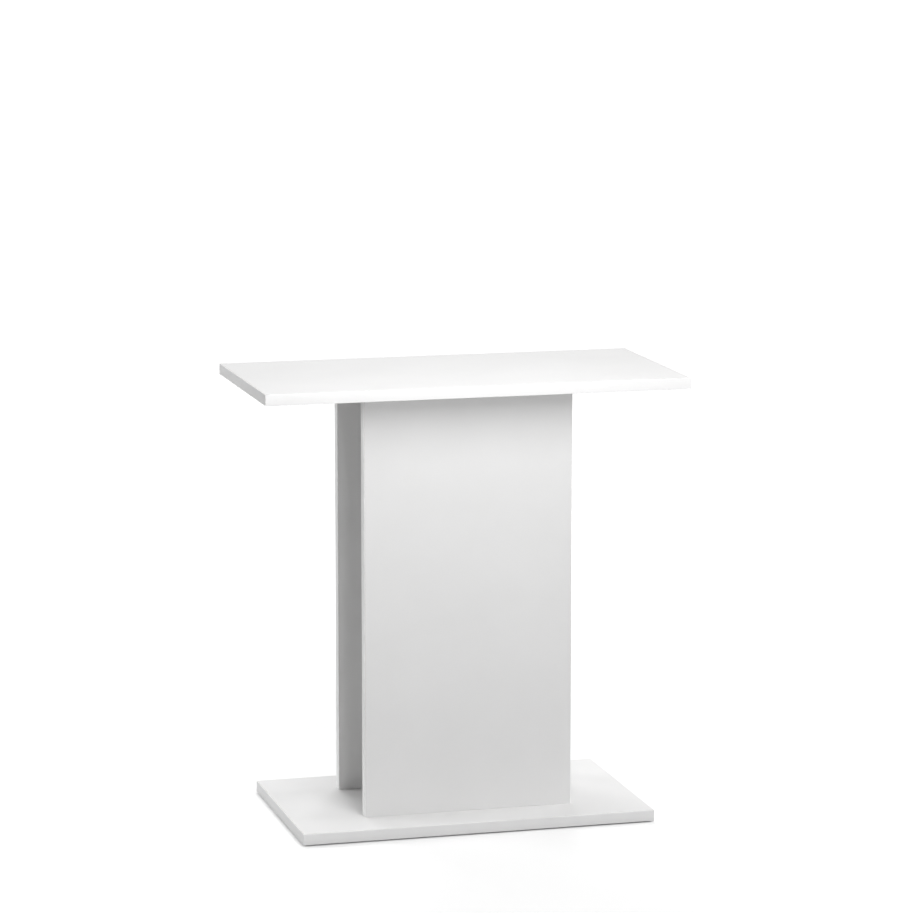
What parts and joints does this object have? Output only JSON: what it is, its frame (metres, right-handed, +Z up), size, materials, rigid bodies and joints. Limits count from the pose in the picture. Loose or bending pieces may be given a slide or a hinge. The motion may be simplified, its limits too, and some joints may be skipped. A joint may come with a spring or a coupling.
{
  "type": "aquarium stand",
  "caption": "Open pedestal stand for an aquarium: top board and base board joined by two upright panels and a web, held by cams, dowels and screws.",
  "frame": {"origin": "on the floor, under the middle of the stand", "axes": "+Z up, -Y the front of the stand, +X to the right as seen from the front"},
  "size_m": [0.61, 0.31, 0.638],
  "materials": {
    "melamine_board": "white melamine faces on chipboard, satin",
    "edge_band": "white ABS edge band, satin",
    "cam_zinc": "die-cast zinc, dull",
    "bolt_steel": "zinc-plated steel",
    "beech": "fluted beech, bare",
    "glide_plastic": "moulded plastic, matt"
  },
  "bodies": {
    "stand": {"base_band_front": "edge_band", "base_band_left": "edge_band", "base_band_rear": "edge_band", "base_band_right": "edge_band", "base_board": "melamine_board", "base_screw_front_left": "bolt_steel", "base_screw_front_right": "bolt_steel", "base_screw_rear_left": "bolt_steel", "base_screw_rear_right": "bolt_steel", "base_screw_web_front": "bolt_steel", "base_screw_web_rear": "bolt_steel", "cam_bolt_front_left": "bolt_steel", "cam_bolt_front_right": "bolt_steel", "cam_bolt_rear_left": "bolt_steel", "cam_bolt_rear_right": "bolt_steel", "cam_bolt_web_front_lower": "bolt_steel", "cam_bolt_web_front_upper": "bolt_steel", "cam_bolt_web_rear_lower": "bolt_steel", "cam_bolt_web_rear_upper": "bolt_steel", "centre_web": "melamine_board", "dowel_base_front": "beech", "dowel_base_rear": "beech", "dowel_top_front_left": "beech", "dowel_top_front_right": "beech", "dowel_top_rear_left": "beech", "dowel_top_rear_right": "beech", "dowel_web_front": "beech", "dowel_web_rear": "beech", "dowel_web_top_front": "beech", "dowel_web_top_rear": "beech", "front_panel": "melamine_board", "front_panel_band_left": "edge_band", "front_panel_band_right": "edge_band", "glide_front_left": "glide_plastic", "glide_front_middle": "glide_plastic", "glide_front_right": "glide_plastic", "glide_rear_left": "glide_plastic", "glide_rear_middle": "glide_plastic", "glide_rear_right": "glide_plastic", "rear_panel": "melamine_board", "rear_panel_band_left": "edge_band", "rear_panel_band_right": "edge_band", "top_band_front": "edge_band", "top_band_left": "edge_band", "top_band_rear": "edge_band", "top_band_right": "edge_band", "top_board": "melamine_board"},
    "cam_front_left_body": {"cam_front_left": "cam_zinc"},
    "cam_front_right_body": {"cam_front_right": "cam_zinc"},
    "cam_web_front_lower_body": {"cam_web_front_lower": "cam_zinc"},
    "cam_web_front_upper_body": {"cam_web_front_upper": "cam_zinc"},
    "cam_rear_left_body": {"cam_rear_left": "cam_zinc"},
    "cam_rear_right_body": {"cam_rear_right": "cam_zinc"},
    "cam_web_rear_lower_body": {"cam_web_rear_lower": "cam_zinc"},
    "cam_web_rear_upper_body": {"cam_web_rear_upper": "cam_zinc"}
  },
  "joints": [
    {"name": "cam_front_left_turn", "type": "hinge", "parent": "stand", "child": "cam_front_left_body", "pos_m": [-0.085, -0.072, 0.59785], "axis": [0, 1, 0], "range_deg": [0, 190]},
    {"name": "cam_front_right_turn", "type": "hinge", "parent": "stand", "child": "cam_front_right_body", "pos_m": [0.085, -0.072, 0.59785], "axis": [0, 1, 0], "range_deg": [0, 190]},
    {"name": "cam_web_front_lower_turn", "type": "hinge", "parent": "stand", "child": "cam_web_front_lower_body", "pos_m": [0.008, -0.04785, 0.12], "axis": [1, 0, 0], "range_deg": [0, 190]},
    {"name": "cam_web_front_upper_turn", "type": "hinge", "parent": "stand", "child": "cam_web_front_upper_body", "pos_m": [0.008, -0.04785, 0.52], "axis": [1, 0, 0], "range_deg": [0, 190]},
    {"name": "cam_rear_left_turn", "type": "hinge", "parent": "stand", "child": "cam_rear_left_body", "pos_m": [-0.085, 0.072, 0.59785], "axis": [0, -1, 0], "range_deg": [0, 190]},
    {"name": "cam_rear_right_turn", "type": "hinge", "parent": "stand", "child": "cam_rear_right_body", "pos_m": [0.085, 0.072, 0.59785], "axis": [0, -1, 0], "range_deg": [0, 190]},
    {"name": "cam_web_rear_lower_turn", "type": "hinge", "parent": "stand", "child": "cam_web_rear_lower_body", "pos_m": [0.008, 0.04785, 0.12], "axis": [1, 0, 0], "range_deg": [0, 190]},
    {"name": "cam_web_rear_upper_turn", "type": "hinge", "parent": "stand", "child": "cam_web_rear_upper_body", "pos_m": [0.008, 0.04785, 0.52], "axis": [1, 0, 0], "range_deg": [0, 190]}
  ]
}
